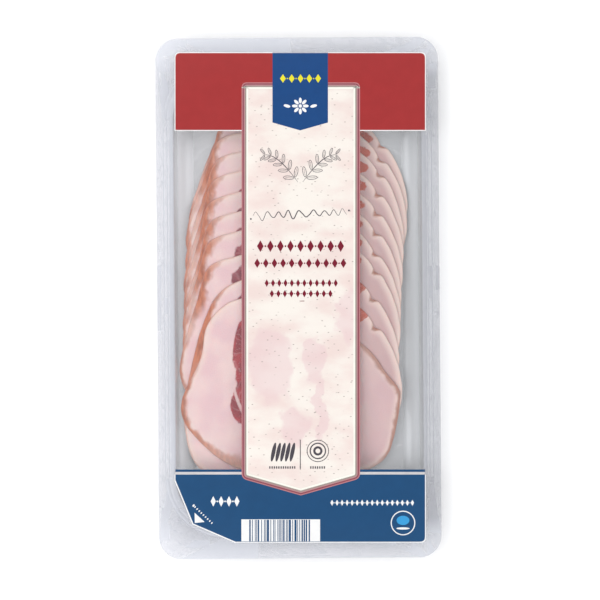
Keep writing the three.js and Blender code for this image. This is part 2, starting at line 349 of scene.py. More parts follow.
@dataclass(frozen=True)
class CreamInk(Finish):
    """Thin cream ink, flecked like recycled paper, through which the slices show faintly, with lilac shade
    painted over the lean beneath.
    """

    slot: str = "print_cream"
    colour: str = "#FFF9F1"
    blush: str = "#F8E6E0"
    lean_shade_lilac: str = "#F1D3D6"  # painted shade over lean that lies beneath
    fleck: str = "#8B7E77"
    cover: float = 0.74
    fleck_cover: float = 0.2  # what a fleck adds to it
    glow: float = 0.05  # share of light that it passes on as a soft glow
    roughness: float = 0.35
    gloss: float = 0.2
    fibre_turn: float = 0.55
    fleck_gap_mm: float = 2.2
    fleck_stretch: float = 0.5
    blush_mm: float = 12.0
    lean_share: float = 0.5
    wander_mm: float = 14.0  # how far the edges of the lean stray
    lean_under: tuple[Lobe, ...] = (
        Lobe(-14.5, -33.5, 11.5, 18.5),
        Lobe(7.7, -30.5, 5.6, 12.0),
        Lobe(-3.2, -63.0, 7.5, 9.0),
        Lobe(10.8, -56.0, 3.2, 19.0),
        Lobe(24.5, -9.0, 5.5, 14.0),
    )

    def surface(self, tree: Tree) -> Socket:
        """Fills the tree with this finish's nodes.

        Args:
            tree: The material's node tree.

        Returns:
            The shader that shows.
        """
        place = add(tree, "TexCoord", out="Object")
        turned = {"Vector": place, "Rotation": (0.0, 0.0, self.fibre_turn)}
        along = add(tree, "Mapping", {**turned, "Scale": (self.fleck_stretch, 1.0, 1.0)})
        # The stock is faintly cloudy along the run of its fibres.
        cloud = add(tree, "TexNoise", {"Vector": along, "Scale": 1 / (self.blush_mm * MM), "Detail": 5.0})
        cloudy = add(tree, "MapRange", {0: cloud, 1: 0.35, 2: 0.65}, **EASE)
        paper = add(tree, "Mix", {"Factor": cloudy, "A": self.colour, "B": self.blush}, **MIX)
        # Where lean lies under the ink, its show-through is painted into the ink as faint lilac shade with
        # wandering edges.
        spot = add(tree, "VectorMath", {0: place, 1: (1 / MM,) * 3}, operation="MULTIPLY")
        stray = add(tree, "TexNoise", {"Vector": spot, "Scale": 0.11, "Detail": 4.0}, "Color")
        reach = (self.wander_mm, self.wander_mm, 0.0)
        half = (self.wander_mm / 2, self.wander_mm / 2, 0.0)
        spot = add(tree, "VectorMath", {0: stray, 1: reach, 2: spot}, operation="MULTIPLY_ADD")
        spot = add(tree, "VectorMath", {0: spot, 1: half}, operation="SUBTRACT")
        nearest: Socket | float = 9.0
        for lobe in self.lean_under:
            nearest = add(tree, "Math", {0: lobe.reach(tree, spot), 1: nearest}, operation="MINIMUM")
        lean = add(tree, "MapRange", {0: nearest, 1: 0.82, 2: 1.12, 3: self.lean_share, 4: 0.0}, **EASE)
        paper = add(tree, "Mix", {"Factor": lean, "A": paper, "B": self.lean_shade_lilac}, **MIX)
        # Flecks are short fibres of which some are darker; most places have none.
        cells = {"Vector": along, "Scale": 1 / (self.fleck_gap_mm * MM)}
        flat = {"voronoi_dimensions": "2D"}
        apart = add(tree, "TexVoronoi", cells, "Distance", **flat)
        near = add(tree, "MapRange", {0: apart, 1: 0.05, 2: 0.14, 3: 1.0, 4: 0.0}, **EASE)
        chance = add(tree, "SeparateColor", {"Color": add(tree, "TexVoronoi", cells, "Color", **flat)}, "Red")
        dark = add(tree, "MapRange", {0: chance, 1: 0.45, 2: 1.0, 3: 0.0, 4: 0.8}, **EASE)
        fleck = add(tree, "Math", {0: near, 1: dark}, operation="MULTIPLY")
        tint = add(tree, "Mix", {"Factor": fleck, "A": paper, "B": self.fleck}, **MIX)
        inputs = {"Base Color": tint, "Roughness": self.roughness, "Specular IOR Level": self.gloss}
        front = add(tree, "BsdfPrincipled", inputs)
        through = add(tree, "BsdfTranslucent", {"Color": tint})
        ink = add(tree, "MixShader", {0: self.glow, 1: front, 2: through})
        clear = add(tree, "BsdfTransparent", {"Color": "#FFFFFF"})
        cover = add(tree, "Math", {0: fleck, 1: self.fleck_cover, 2: self.cover}, operation="MULTIPLY_ADD")
        return add(tree, "MixShader", {0: cover, 1: clear, 2: ink})


@dataclass(frozen=True)
class Muscles:
    """The muscles that a slice's face shows, the pale sheath round one, and how far painted shade darkens its
    right end.
    """

    lobes: tuple[Lobe, ...]
    sheath: Lobe
    lean: str
    deep_lean: str
    right_shade: float


HIDDEN_LOBES = (Lobe(0.0, 24.0, 24.0, 15.0), Lobe(-4.0, -12.0, 26.0, 12.0))
MIDDLE_SHEATH = Lobe(-12.0, 22.0, 19.0, 19.0)


class Cut(Enum):
    """Which part of the roll a slice comes from."""

    MIDDLE = Muscles(
        (Lobe(-21.3, 34.0, 10.4, 11.0), Lobe(22.0, 33.6, 9.8, 4.6), *HIDDEN_LOBES),
        sheath=MIDDLE_SHEATH,
        lean="#A0323F",
        deep_lean="#7E2030",
        right_shade=0.9,
    )
    LOWER = Muscles(
        (Lobe(-21.4, 34.6, 10.2, 10.4), Lobe(26.5, 33.0, 10.0, 5.6), *HIDDEN_LOBES),
        sheath=MIDDLE_SHEATH,
        lean="#9C3C48",
        deep_lean="#7A2838",
        right_shade=0.8,
    )
    FRONT = Muscles(
        (
            Lobe(-21.5, 28.5, 6.8, 15.5),
            Lobe(-17.0, 23.0, 10.5, 21.0),
            Lobe(-20.5, 1.5, 9.6, 10.5),
            Lobe(1.5, 32.0, 8.5, 3.8),
            Lobe(15.0, 24.0, 7.5, 12.0),
            Lobe(1.5, -6.0, 8.2, 9.5),
        ),
        sheath=Lobe(-13.4, 22.8, 15.4, 32.2),
        lean="#B4242F",
        deep_lean="#8E0E22",
        right_shade=0.5,
    )


@dataclass(frozen=True)
class RolledPancetta(Finish):
    """Cured rolled belly: moist pink white fat, red lean and a spiced orange-brown rim."""

    cut: Cut
    fat: str = "#F0D3CD"
    pink_fat: str = "#E8C4C5"
    shaded_fat: str = "#C4A29F"
    cream_and_highlight_fat: str = "#F2DDD0"
    warm_lean: str = "#C0583F"
    membrane: str = "#EBC8C6"
    spice: str = "#C8754C"
    dark_spice: str = "#A85A36"
    shaded_spice: str = "#A06A56"  # painted shade at the roll's right end
    skin: str = "#C39186"
    wander_mm: float = 7.5  # how far the muscles' edges stray from their ellipses
    melt: float = 0.08  # how softly touching muscles melt into one
    grain_mm: float = 0.8
    grain_depth: float = 0.25
    grain_height_mm: float = 0.4
    roughness: float = 0.42
    gloss: float = 0.35
    moisture: float = 0.1
    glow: float = 0.35  # share of light that soaks in and comes out beside
    glow_mm: float = 1.5

    def surface(self, tree: Tree) -> Socket:
        """Fills the tree with this finish's nodes.

        Args:
            tree: The material's node tree.

        Returns:
            The shader that shows.
        """
        cut = add(tree, "Attribute", out="Vector", attribute_name="cut_mm")
        rim = add(tree, "Attribute", out="Fac", attribute_name="rim_mm")
        # Fat is whiter and pinker in clouds, and creamier towards the edge, partly from the fat's own edge
        # colour and partly from a painted highlight along the slice's edge.
        cloud = add(tree, "TexNoise", {"Vector": cut, "Scale": 0.07, "Detail": 3.0})
        pink = add(tree, "MapRange", {0: cloud, 1: 0.35, 2: 0.65}, **EASE)
        fat = add(tree, "Mix", {"Factor": pink, "A": self.fat, "B": self.pink_fat}, **MIX)
        # Painted shade: the fat darkens towards the slice's right.
        across = add(tree, "SeparateXYZ", {"Vector": cut}, "X")
        right_shade = add(tree, "MapRange", {0: across, 1: 6.0, 2: 42.0, 3: 0.0, 4: self.cut.value.right_shade}, **EASE)
        fat = add(tree, "Mix", {"Factor": right_shade, "A": fat, "B": self.shaded_fat}, **MIX)
        # Partly painted highlight: the fat turns creamy near the slice's edge.
        edge = add(tree, "MapRange", {0: rim, 1: 0.4, 2: 4.5, 3: 0.75, 4: 0.0}, **EASE)
        fat = add(tree, "Mix", {"Factor": edge, "A": fat, "B": self.cream_and_highlight_fat}, **MIX)
        lean, red = self.lean_mask(tree, cut), self.lean_colour(tree, cut)
        meat = add(tree, "Mix", {"Factor": lean, "A": fat, "B": red}, **MIX)
        share, colour = self.spiced_rim(tree, cut, rim)
        meat = add(tree, "Mix", {"Factor": share, "A": meat, "B": colour}, **MIX)
        outermost = add(tree, "MapRange", {0: rim, 1: 0.05, 2: 0.4, 3: 0.7, 4: 0.0}, **EASE)
        skin = add(tree, "Math", {0: outermost, 1: share}, operation="MULTIPLY")
        meat = add(tree, "Mix", {"Factor": skin, "A": meat, "B": self.skin}, **MIX)
        grain = add(tree, "TexNoise", {"Vector": cut, "Scale": 1 / self.grain_mm, "Detail": 2.0})
        bump = {"Height": grain, "Strength": self.grain_depth, "Distance": self.grain_height_mm * MM}
        inputs = {
            "Base Color": meat,
            "Roughness": self.roughness,
            "Specular IOR Level": self.gloss,
            "Subsurface Weight": self.glow,
            "Subsurface Radius": (1.0, 0.45, 0.35),
            "Subsurface Scale": self.glow_mm * MM,
            "Coat Weight": self.moisture,
            "Coat Roughness": 0.2,
            "Normal": add(tree, "Bump", bump),
        }
        return add(tree, "BsdfPrincipled", inputs)

    def lean_mask(self, tree: Tree, cut: Socket) -> Socket:
        """Makes the share of lean: muscles with wandering edges, parted by thin white membranes.

        Args:
            tree: The material's node tree.
            cut: The place on the slice, in millimetres.

        Returns:
            The socket of a mask that is 1 in lean.
        """
        stray = add(tree, "TexNoise", {"Vector": cut, "Scale": 0.13, "Detail": 4.0}, "Color")
        centred = add(tree, "VectorMath", {0: stray, 1: (0.5, 0.5, 0.5)}, operation="SUBTRACT")
        reach = (self.wander_mm, self.wander_mm, 0.0)
        strayed = add(tree, "VectorMath", {0: centred, 1: reach, 2: cut}, operation="MULTIPLY_ADD")
        nearest: Socket | float = 9.0
        for lobe in self.cut.value.lobes:
            away = lobe.reach(tree, strayed)
            nearest = add(tree, "Math", {0: away, 1: nearest, 2: self.melt}, operation="SMOOTH_MIN")
        inside = add(tree, "MapRange", {0: nearest, 1: 0.95, 2: 1.06, 3: 1.0, 4: 0.0}, **EASE)
        # Membranes run where a slow noise crosses its middle value, so they wind and never end.
        slow = add(tree, "TexNoise", {"Vector": cut, "Scale": 0.085, "Detail": 1.5, "Distortion": 0.6})
        off_middle = add(tree, "Math", {0: slow, 1: 0.5}, operation="SUBTRACT")
        apart = add(tree, "Math", {0: off_middle}, operation="ABSOLUTE")
        seam = add(tree, "MapRange", {0: apart, 1: 0.0, 2: 0.03, 3: 0.85, 4: 1.0}, **EASE)
        parted = add(tree, "Math", {0: inside, 1: seam}, operation="MULTIPLY")
        # The sheath is a pale line round one muscle, about 1 mm wide.
        around = self.cut.value.sheath.reach(tree, cut)
        offset = add(tree, "Math", {0: around, 1: 1.0}, operation="SUBTRACT")
        beside = add(tree, "Math", {0: offset}, operation="ABSOLUTE")
        clear = add(tree, "MapRange", {0: beside, 1: 0.02, 2: 0.06, 3: 0.1, 4: 1.0}, **EASE)
        return add(tree, "Math", {0: parted, 1: clear}, operation="MULTIPLY")

    def lean_colour(self, tree: Tree, cut: Socket) -> Socket:
        """Makes the colour of lean: purple red at the left of the roll, orange red at the right.

        Args:
            tree: The material's node tree.
            cut: The place on the slice, in millimetres.

        Returns:
            The colour's socket.
        """
        depth = add(tree, "TexNoise", {"Vector": cut, "Scale": 0.2, "Detail": 5.0})
        muscles = self.cut.value
        deep = add(tree, "MapRange", {0: depth, 1: 0.35, 2: 0.65}, **EASE)
        red = add(tree, "Mix", {"Factor": deep, "A": muscles.lean, "B": muscles.deep_lean}, **MIX)
        across = add(tree, "SeparateXYZ", {"Vector": cut}, "X")
        warm = add(tree, "MapRange", {0: across, 1: 4.0, 2: 26.0}, **EASE)
        red = add(tree, "Mix", {"Factor": warm, "A": red, "B": self.warm_lean}, **MIX)
        # Fine white marbling lies along the fibres.
        marbling = add(tree, "TexNoise", {"Vector": cut, "Scale": 0.45, "Detail": 4.0, "Distortion": 0.8})
        white = add(tree, "MapRange", {0: marbling, 1: 0.58, 2: 0.78, 3: 0.0, 4: 0.4}, **EASE)
        return add(tree, "Mix", {"Factor": white, "A": red, "B": self.membrane}, **MIX)

    def spiced_rim(
        self, tree: Tree, cut: Socket, rim: Socket
    ) -> tuple[Socket, Socket]:
        """Makes the spiced outside of the roll, which shows as a soft band along the slice's edge.

        Args:
            tree: The material's node tree.
            cut: The place on the slice, in millimetres.
            rim: Distance from the slice's edge, in millimetres.

        Returns:
            The sockets of the band's share and of its colour.
        """
        width = add(tree, "Attribute", out="Fac", attribute_name="spice_mm")
        strength = add(tree, "Attribute", out="Fac", attribute_name="spice")
        # The cure soaks in unevenly, in tongues about 6 mm long.
        soak = add(tree, "TexNoise", {"Vector": cut, "Scale": 0.17, "Detail": 3.0})
        uneven = add(tree, "MapRange", {0: soak, 1: 0.3, 2: 0.7, 3: 0.65, 4: 1.3}, **EASE)
        reach = add(tree, "Math", {0: width, 1: uneven}, operation="MULTIPLY")
        start = add(tree, "Math", {0: reach, 1: 0.3}, operation="MULTIPLY")
        band = add(tree, "MapRange", {0: rim, 1: start, 2: reach, 3: 1.0, 4: 0.0}, **EASE)
        share = add(tree, "Math", {0: band, 1: strength}, operation="MULTIPLY", use_clamp=True)
        # Ground spice lies in streaks that run with the roll's side, 2 mm wide and three times as long.
        run = add(tree, "Mapping", {"Vector": cut, "Rotation": (0.0, 0.0, 0.25), "Scale": (1.0, 0.3, 1.0)})
        streak = add(tree, "TexNoise", {"Vector": run, "Scale": 0.5, "Detail": 4.0})
        dark = add(tree, "MapRange", {0: streak, 1: 0.38, 2: 0.62}, **EASE)
        colour = add(tree, "Mix", {"Factor": dark, "A": self.spice, "B": self.dark_spice}, **MIX)
        # Painted shade: the spice darkens towards the slice's right.
        across = add(tree, "SeparateXYZ", {"Vector": cut}, "X")
        right_shade = add(tree, "MapRange", {0: across, 1: 12.0, 2: 30.0, 3: 0.0, 4: 0.85}, **EASE)
        return share, add(tree, "Mix", {"Factor": right_shade, "A": colour, "B": self.shaded_spice}, **MIX)


def smoothstep(low: float, high: float, value: float) -> float:
    """Eases from 0 at low to 1 at high."""
    share = min(1.0, max(0.0, (value - low) / (high - low)))
    return share * share * (3 - 2 * share)


def finish_piece(
    name: str,
    bm: Mesh,
    material: bpy.types.Material,
    replaces: Sequence[str] = (),
    sharp: float = 35.0,
    askew: bool = True,
) -> bpy.types.Object:
    """Turns a finished bmesh in millimetres into a piece of the pack.

    Args:
        name: The piece's name.
        bm: The closed mesh, in millimetres. It is freed here.
        material: The finish of the whole piece.
        replaces: The frame's nodes that the piece stands for.
        sharp: Edges that turn by more degrees than this stay crisp.
        askew: Whether the piece is turned with the lid and the slices.

    Returns:
        The piece, riding on the frame's root.
    """
    if askew:
        bmesh.ops.rotate(bm, cent=(0, 0, 0), matrix=Matrix.Rotation(LAY_TURN, 3, "Z"), verts=bm.verts)
    bmesh.ops.scale(bm, vec=(MM, MM, MM), verts=bm.verts)
    mesh = bpy.data.meshes.new(name)
    bm.to_mesh(mesh)
    bm.free()
    mesh.shade_smooth()
    mesh.set_sharp_from_angle(angle=math.radians(sharp))
    mesh.materials.append(material)
    piece = bpy.data.objects.new(name, mesh)
    bpy.context.scene.collection.objects.link(piece)
    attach(piece, "root")
    if replaces:
        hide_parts(*replaces)
    LOG.info("%s: %d faces", name, len(mesh.polygons))
    return piece


@dataclass
class FormedTray:
    """The clear tray: a flat floor, a wide bend, drafted walls and a wide flange with two seal ridges."""

    half_width: float
    half_length: float
    height: float
    cavity_half_width: float = 61.2
    cavity_half_length: float = 113.0
    cavity_corner: float = 24.0
    pack_corner: float = 11.0
    wall: float = 0.6
    draft: float = 0.9
    floor_bend: float = 8.0
    lip_bend: float = 1.0
    bend_steps: int = 12
    lip_steps: int = 4
    corner_steps: int = 16
    ridge_places: tuple[float, ...] = (3.4, 5.2)  # of the seal ridges, outwards of the cavity's edge
    ridge: float = 0.25  # half a ridge's width
    ridge_depth: float = 0.07

    @classmethod
    def from_frame(cls) -> FormedTray:
        """Takes the tray's reach from the frame."""
        low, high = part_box("tray")
        size = (high - low) / MM
        return cls(half_width=size.x / 2, half_length=size.y / 2, height=size.z)

    def ring(self, half_width: float, half_length: float, corner: float) -> list[Vector]:
        """Makes one rounded rectangle.

        Args:
            half_width: Half its width.
            half_length: Half its length.
            corner: Its corners' radius.

        Returns:
            Its points, anticlockwise, the same number for every ring.
        """
        points = []
        for quarter, (side_x, side_y) in enumerate(((1, 1), (-1, 1), (-1, -1), (1, -1))):
            for step in range(self.corner_steps + 1):
                angle = math.pi / 2 * (quarter + step / self.corner_steps)
                x = side_x * (half_width - corner) + corner * math.cos(angle)
                y = side_y * (half_length - corner) + corner * math.sin(angle)
                points.append(Vector((x, y, 0)))
        return points

    def cavity_ring(self, inset: float) -> list[Vector]:
        """Makes a ring that lies `inset` inside the cavity's edge."""
        return self.ring(
            self.cavity_half_width - inset,
            self.cavity_half_length - inset,
            self.cavity_corner - inset,
        )

    def profile(self) -> list[tuple[list[Vector], float]]:
        """Lists the tray's upper skin from the floor's edge to the flange's edge.

        Returns:
            Rings with their heights.
        """
        rings = []
        for step in range(self.bend_steps + 1):
            angle = math.pi / 2 * step / self.bend_steps
            inset = self.draft + self.floor_bend * (1 - math.sin(angle))
            rings.append((self.cavity_ring(inset), self.wall + self.floor_bend * (1 - math.cos(angle))))
        for step in range(self.lip_steps + 1):
            angle = math.pi / 2 * step / self.lip_steps
            inset = -self.lip_bend * (1 - math.cos(angle))
            height = self.height - self.lip_bend * (1 - math.sin(angle))
            rings.append((self.cavity_ring(inset), height))
        for place in self.ridge_places:
            for offset, drop in ((-self.ridge, 0), (0, self.ridge_depth), (self.ridge, 0)):
                rings.append((self.cavity_ring(-place - offset), self.height - drop))
        rings.append((self.ring(self.half_width, self.half_length, self.pack_corner), self.height))
        return rings

    def build(self, material: bpy.types.Material) -> bpy.types.Object:
        """Forms the tray from its floor outwards and gives it its thickness.

        Args:
            material: The clear sheet.

        Returns:
            The tray.
        """
        rings = self.profile()
        bm = bmesh.new()
        place = bm.verts.layers.int.new("place")
        made = bmesh.ops.create_circle(bm, cap_ends=True, radius=1, segments=len(rings[0][0]))
        for step, vert in enumerate(made["verts"]):
            vert[place] = step
        loop = [e for e in bm.edges if e.is_boundary]
        verts = made["verts"]
        for index, (ring, height) in enumerate(rings):
            if index:
                grown = bmesh.ops.extrude_edge_only(bm, edges=loop)["geom"]
                verts = [g for g in grown if isinstance(g, bmesh.types.BMVert)]
                new = set(verts)
                loop = [g for g in grown if isinstance(g, bmesh.types.BMEdge) and set(g.verts) <= new]
            for vert in verts:
                vert.co = (*ring[vert[place]].xy, height)
        bmesh.ops.recalc_face_normals(bm, faces=bm.faces)
        if sum(f.normal.z for f in bm.faces) < 0:
            bmesh.ops.reverse_faces(bm, faces=bm.faces)
        bmesh.ops.solidify(bm, geom=bm.faces[:], thickness=self.wall)
        bmesh.ops.recalc_face_normals(bm, faces=bm.faces)
        return finish_piece("formed_tray", bm, material, ["tray"], sharp=50.0, askew=False)


@dataclass
class LidFilm:
    """The lid film: sealed flat on the flange, a little slack and rippled over the cavity."""

    half_width: float
    half_length: float
    bottom: float
    top: float
    tray: FormedTray
    slack: float = 0.22
    slack_reach: float = 16.0  # how far in from the cavity's edge the film settles
    ripple: float = 0.09
    ripple_across: float = 34.0
    ripple_along: float = 70.0
    mesh_step: float = 4.0

    @classmethod
    def from_frame(cls, tray: FormedTray) -> LidFilm:
        """Takes the film's reach and height from the frame."""
        low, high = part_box("lid_film")
        size = (high - low) / MM
        return cls(size.x / 2, size.y / 2, low.z / MM, high.z / MM, tray)

    def rise(self, place: Vector) -> float:
        """Gives the film's height over its flat place.

        Args:
            place: A point in the print's upright frame.

        Returns:
            The rise, which is nought on the flange and mostly below it over the cavity.
        """
        on_tray = Matrix.Rotation(LAY_TURN, 3, "Z") @ place
        corner = self.tray.cavity_corner
        across = abs(on_tray.x) - self.tray.cavity_half_width + corner
        along = abs(on_tray.y) - self.tray.cavity_half_length + corner
        beyond = math.hypot(max(across, 0.0), max(along, 0.0)) + min(max(across, along), 0.0) - corner
        settled = smoothstep(0.0, self.slack_reach, -beyond)
        wave = noise.noise(Vector((place.x / self.ripple_across, place.y / self.ripple_along, 0.7)))
        return settled * (self.ripple * wave - self.slack)

    def cut_grid(self, bm: Mesh) -> None:
        """Cuts flat faces along one grid, so that all that lies on the film follows it alike.

        Args:
            bm: Flat faces in the print's upright frame.
        """
        for axis in (0, 1):
            reach = [v.co[axis] for v in bm.verts]
            first = math.floor(min(reach) / self.mesh_step) + 1
            last = math.ceil(max(reach) / self.mesh_step) - 1
            normal = Vector((1 - axis, axis, 0))
            for line in range(first, last + 1):
                everything = bm.verts[:] + bm.edges[:] + bm.faces[:]
                place = normal * line * self.mesh_step
                bmesh.ops.bisect_plane(bm, geom=everything, dist=1e-5, plane_co=place, plane_no=normal)

    def lay(self, bm: Mesh, above: float, thickness: float) -> None:
        """Drapes flat faces over the film and gives them their thickness downwards.

        Args:
            bm: Flat faces in the print's upright frame.
            above: Height of their upper side above the film's upper side.
            thickness: Their thickness.
        """
        self.cut_grid(bm)
        for vert in bm.verts:
            vert.co.z = self.top + above + self.rise(vert.co)
        bm.normal_update()
        bmesh.ops.reverse_faces(bm, faces=[f for f in bm.faces if f.normal.z < 0])
        bmesh.ops.solidify(bm, geom=bm.faces[:], thickness=thickness)
        bmesh.ops.recalc_face_normals(bm, faces=bm.faces)

    def build(self, material: bpy.types.Material) -> bpy.types.Object:
        """Lays the film over the tray.

        Args:
            material: The clear film.

        Returns:
            The film.
        """
        bm = bmesh.new()
        ring = self.tray.ring(self.half_width, self.half_length, self.tray.pack_corner)
        bm.faces.new([bm.verts.new(p) for p in ring])
        bmesh.ops.rotate(bm, cent=(0, 0, 0), matrix=Matrix.Rotation(-LAY_TURN, 3, "Z"), verts=bm.verts)
        self.lay(bm, 0.0, self.top - self.bottom)
        return finish_piece("clear_lid_film", bm, material, ["lid_film"])


def polygon(points: Iterable[Point]) -> Mesh:
    """Makes one flat face from its corners."""
    bm = bmesh.new()
    bm.faces.new([bm.verts.new((x, y, 0)) for x, y in points])
    return bm


def rounded(corners: Sequence[tuple[float, float, float]], steps: int = 8) -> list[Point]:
    """Draws an outline whose corners may be rounded.

    Args:
        corners: Each corner's place and how far its rounding reaches along its sides.
        steps: Straight pieces in a rounding.

    Returns:
        The outline's points.
    """
    points: list[Point] = []
    for index, (x, y, reach) in enumerate(corners):
        corner = Vector((x, y))
        before = Vector(corners[index - 1][:2])
        after = Vector(corners[(index + 1) % len(corners)][:2])
        if not reach:
            points.append((x, y))
            continue
        start = corner + (before - corner).normalized() * reach
        end = corner + (after - corner).normalized() * reach
        for step in range(steps + 1):
            share = step / steps
            spot = start.lerp(corner, share).lerp(corner.lerp(end, share), share)
            points.append((spot.x, spot.y))
    return points


def keep_inset(bm: Mesh, inset: float, keep_inside: bool) -> Mesh:
    """Insets one flat face and keeps one side of the new loop.

    Args:
        bm: The flat face.
        inset: How far the loop lies in from the edge.
        keep_inside: Whether the inside stays, or the band round it.

    Returns:
        The same bmesh.
    """
    bm.normal_update()
    inside = bm.faces[:]
    made = bmesh.ops.inset_region(bm, faces=inside, thickness=inset, use_boundary=True, use_even_offset=True)
    bmesh.ops.delete(bm, geom=made["faces"] if keep_inside else inside, context="FACES")
    return bm


@dataclass
class Press:
    """Prints flat shapes on the lid film, drawn as thin plates that follow it."""

    film: LidFilm
    ink: float = 0.05  # thickness of one layer
    sunk: float = 0.02  # how far a plate reaches into what it lies on
    materials: dict[str, bpy.types.Material] = field(default_factory=dict)

    def put(
        self, name: str, bm: Mesh, look: SolidInk | CreamInk, layer: int = 1, replaces: Sequence[str] = ()
    ) -> bpy.types.Object:
        """Presses flat faces onto the film.

        Args:
            name: The piece's name.
            bm: Flat faces in the print's upright frame.
            look: The ink.
            layer: 1 on the film, 2 on another ink, and so on.
            replaces: The frame's nodes that the piece stands for.

        Returns:
            The printed piece.
        """
        if look.name not in self.materials:
            self.materials[look.name] = look.make()
        self.film.lay(bm, self.ink * layer - self.sunk, self.ink)
        return finish_piece(name, bm, self.materials[look.name], replaces)


@dataclass
class PrintedFields:
    """The large fields of colour: red head, blue foot, the tab and the framed cream panel."""

    press: Press
    left: float = -61.0
    right: float = 62.7
    top: float = 121.4
    bottom: float = -120.8
    corner: float = 2.5
    red_bottom: float = 83.3
    tab_left: float = -12.9
    tab_right: float = 14.6
    tab_side: float = 87.0
    tab_drop: float = 3.9
    panel_left: float = -28.2
    panel_right: float = 30.5
    panel_top: float = 106.9
    panel_corner: float = 2.7
    panel_side: float = -89.5
    panel_tip: float = -97.9
    line_top: float = -85.0
    line_bottom: float = -86.2
    blue_top: float = -87.5
    peel_cut: tuple[Point, ...] = ((-61.0, -90.2), (-52.1, -111.8), (-31.2, -120.8))
    white_edge: float = 0.45  # by which the white under the ink shows outside a field
    frame_lines: tuple[tuple[Ink, float], ...] = (
        (Ink.PINK, 0.5),
        (Ink.ROSE, 0.65),
        (Ink.MAUVE, 0.5),
        (Ink.TAUPE, 0.7),
        (Ink.IVORY, 0.9),
    )

    @property
    def middle(self) -> float:
        """The panel's middle line."""
        return (self.panel_left + self.panel_right) / 2

    def red(self, side: int, grown: float) -> Mesh:
        """Makes the red field on one side, cut round the tab and the panel.

        Args:
            side: -1 left or 1 right.
            grown: How far its outer sides move out.

        Returns:
            The flat field.
        """
        outer, panel, tab = (
            (self.left - grown, self.panel_left, self.tab_left)
            if side < 0
            else (self.right + grown, self.panel_right, self.tab_right)
        )
        corners = [
            (tab, self.top + grown, 0),
            (outer, self.top + grown, self.corner),
            (outer, self.red_bottom - grown, 0),
            (panel, self.red_bottom - grown, 0),
            (panel, self.panel_top, self.panel_corner),
            (tab, self.panel_top, 0),
        ]
        return polygon(rounded(corners))

    def strip(self, side: int, low: float, high: float) -> Mesh:
        """Makes a level strip between the panel and the outer edge on one side.

        Args:
            side: -1 left or 1 right.
            low: Its lower edge.
            high: Its upper edge.

        Returns:
            The flat strip.
        """
        outer, inner = (self.left, self.panel_left) if side < 0 else (self.right, self.panel_right)
        return polygon([(outer, low), (inner, low), (inner, high), (outer, high)])

    def panel_outline(self) -> list[Point]:
        """Draws the whole panel with its rounded corners and pointed foot.

        Returns:
            The outline's points.
        """
        corners = [
            (self.panel_left, self.panel_top, self.panel_corner),
            (self.panel_left, self.panel_side, self.panel_corner),
            (self.middle, self.panel_tip, 0),
            (self.panel_right, self.panel_side, self.panel_corner),
            (self.panel_right, self.panel_top, self.panel_corner),
        ]
        return rounded(corners)

    def foot(self, grown: float) -> Mesh:
        """Makes the blue field, cut round the panel's foot and back from the peel corner.

        Args:
            grown: How far its outer sides move out.

        Returns:
            The flat field.
        """
        corners = [
            (self.right + grown, self.blue_top, 0),
            (self.right + grown, self.bottom - grown, self.corner),
            *((x - grown, y - grown, 0) for x, y in reversed(self.peel_cut)),
            (self.left - grown, self.blue_top, 0),
            (self.panel_left, self.blue_top, 0),
        ]
        edge = [p for p in self.panel_outline() if p[1] < self.blue_top]
        return polygon([*rounded(corners), *edge, (self.panel_right, self.blue_top)])

    def tab(self) -> Mesh:
        """Makes the tab with its pointed end.

        Returns:
            The flat tab.
        """
        point = ((self.tab_left + self.tab_right) / 2, self.tab_side - self.tab_drop)
        left = [(self.tab_left, self.top), (self.tab_left, self.tab_side)]
        right = [(self.tab_right, self.tab_side), (self.tab_right, self.top)]
        return polygon([*left, point, *right])

    def put_edged(self, name: str, draw: Callable[[float], Mesh], ink: Ink, cad: str) -> None:
        """Prints one field of colour over white that shows as a thin line outside it.

        Args:
            name: The field's name.
            draw: Draws its outline, grown by some millimetres.
            ink: Its colour.
            cad: The frame's node that it stands for.
        """
        self.press.put(f"{name}_edge", draw(self.white_edge), Ink.WHITE.value, 1)
        self.press.put(name, draw(0.0), ink.value, 2, [cad])

    def put_panel(self) -> None:
        """Prints the panel's frame line by line from its edge inwards, and its cream field."""
        inset = 0.0
        for index, (ink, width) in enumerate(self.frame_lines):
            bm = polygon(self.panel_outline())
            if inset:
                keep_inset(bm, inset, keep_inside=True)
            self.press.put(f"panel_line_{index + 1}", keep_inset(bm, width, keep_inside=False), ink.value)
            inset += width
        cream = keep_inset(polygon(self.panel_outline()), inset, keep_inside=True)
        self.press.put("panel_cream", cream, CreamInk("printed_cream"), 1, ["print_panel"])

    def build(self) -> None:
        """Prints every field."""
        for side, name in ((-1, "left"), (1, "right")):
            self.put_edged(f"red_{name}", partial(self.red, side), Ink.RED, f"print_red_{name}")
            line = self.strip(side, self.line_bottom, self.line_top)
            self.press.put(f"blue_line_{name}", line, Ink.BLUE.value, 1, [f"print_line_{name}"])
            gap = self.strip(side, self.blue_top, self.line_bottom)
            self.press.put(f"pale_line_{name}", gap, Ink.GAP_WHITE.value)
        self.put_panel()
        self.press.put("blue_tab", self.tab(), Ink.NAVY.value, 2, ["print_tab"])
        self.put_edged("blue_foot", self.foot, Ink.BLUE, "print_blue")


